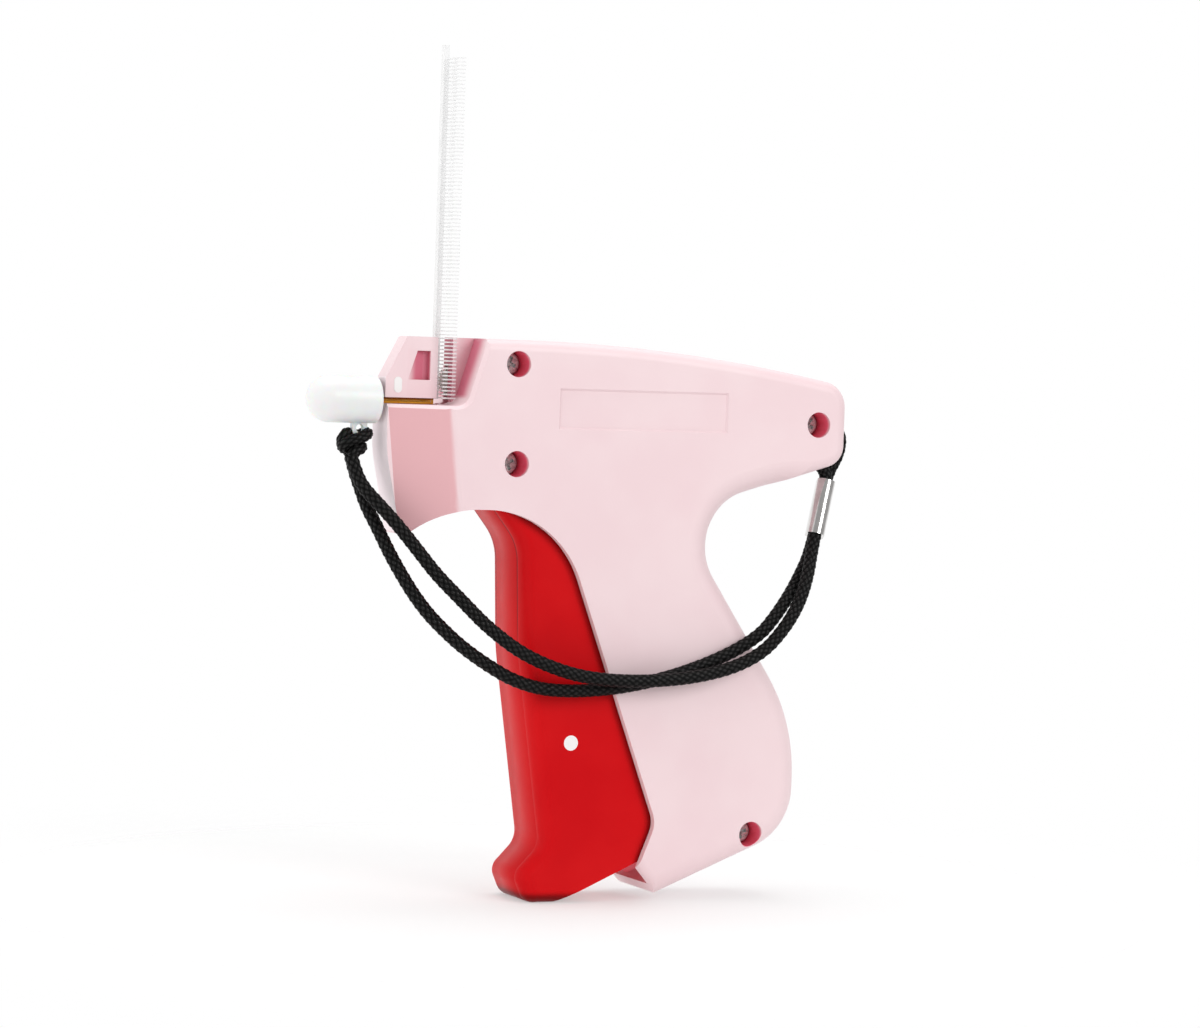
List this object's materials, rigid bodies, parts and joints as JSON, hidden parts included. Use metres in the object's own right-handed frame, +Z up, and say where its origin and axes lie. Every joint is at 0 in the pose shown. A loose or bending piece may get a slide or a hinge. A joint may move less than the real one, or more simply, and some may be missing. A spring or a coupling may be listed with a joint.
{
  "type": "fabric tagging tool",
  "caption": "Pistol-grip fabric tagging tool with a red trigger, a capped hollow needle, an upright clip of plastic fasteners and a wrist cord.",
  "frame": {"origin": "on the surface under the trigger's toe, below the middle of the body with its needle cap", "axes": "+X from the needle to the rear of the barrel, +Y to the tool's right side, +Z up"},
  "size_m": [0.1312, 0.0295, 0.1897],
  "materials": {
    "shell": "smooth semi-gloss pink",
    "trigger": "smooth glossy red",
    "white_pin": "smooth white",
    "cap": "smooth white",
    "fastener": "milky clear",
    "inner_plastic": "natural",
    "steel": "plain",
    "screw": "plain",
    "brass": "bright",
    "cord": "braided black",
    "ferrule": "polished"
  },
  "bodies": {
    "housing": {"left_shell": "shell", "right_shell": "shell", "casing_screws": "screw", "needle": "brass", "needle_lock": "cap", "cutter_blade": "brass", "lever_axle": "steel", "feed_axle": "steel", "detent_spring": "steel", "return_spring": "steel", "cord_front_strand": "cord", "cord_back_strand": "cord", "cord_loop": "cord", "ferrule": "ferrule"},
    "trigger": {"trigger": "trigger", "link_pin": "white_pin"},
    "link": {"drive_link": "inner_plastic"},
    "lever": {"drive_lever": "inner_plastic", "lever_pins": "steel"},
    "slide": {"slide": "inner_plastic", "push_rod": "steel", "feed_pawl": "steel"},
    "feed_wheel": {"feed_wheel": "inner_plastic"},
    "clip": {"fastener_clip": "fastener"},
    "cap": {"needle_cap": "cap", "cord_knot": "cord"}
  },
  "joints": [
    {"name": "trigger_squeeze", "type": "hinge", "parent": "housing", "child": "trigger", "pos_m": [-0.0181, 0, 0.0979], "axis": [0, -1, 0], "range_deg": [0, 12.5], "stiffness_Nm_per_rad": 2, "springref_deg": -11.46},
    {"name": "link_swing", "type": "hinge", "parent": "trigger", "child": "link", "pos_m": [-0.0019, 0, 0.0359], "axis": [0, -1, 0], "range_deg": [-18, 0]},
    {"name": "lever_swing", "type": "hinge", "parent": "housing", "child": "lever", "pos_m": [0.0188, 0, 0.062], "axis": [0, -1, 0], "range_deg": [0, 36.5], "deforming": ["return_spring"]},
    {"name": "slide_stroke", "type": "slide", "parent": "housing", "child": "slide", "axis": [-1, 0, 0], "range_m": [0, 0.0323]},
    {"name": "clip_lift", "type": "slide", "parent": "housing", "child": "clip", "axis": [0, 0, 1], "range_m": [0, 0.079]},
    {"name": "feed_turn", "type": "hinge", "parent": "housing", "child": "feed_wheel", "pos_m": [-0.02922, 0, 0.11554], "axis": [0, 1, 0], "range_deg": [0, 1460]},
    {"name": "cap_pull", "type": "slide", "parent": "housing", "child": "cap", "axis": [-1, 0, 0], "range_m": [0, 0.025], "deforming": ["cord_front_strand", "cord_back_strand"]}
  ],
  "couplings": [
    {"joint": "lever_swing", "follows": "trigger_squeeze", "ratio": 2.9086},
    {"joint": "link_swing", "follows": "trigger_squeeze", "ratio": -1.4016},
    {"joint": "slide_stroke", "follows": "trigger_squeeze", "m_per_rad": 0.1475},
    {"joint": "feed_turn", "follows": "clip_lift", "rad_per_m": 319.27}
  ]
}
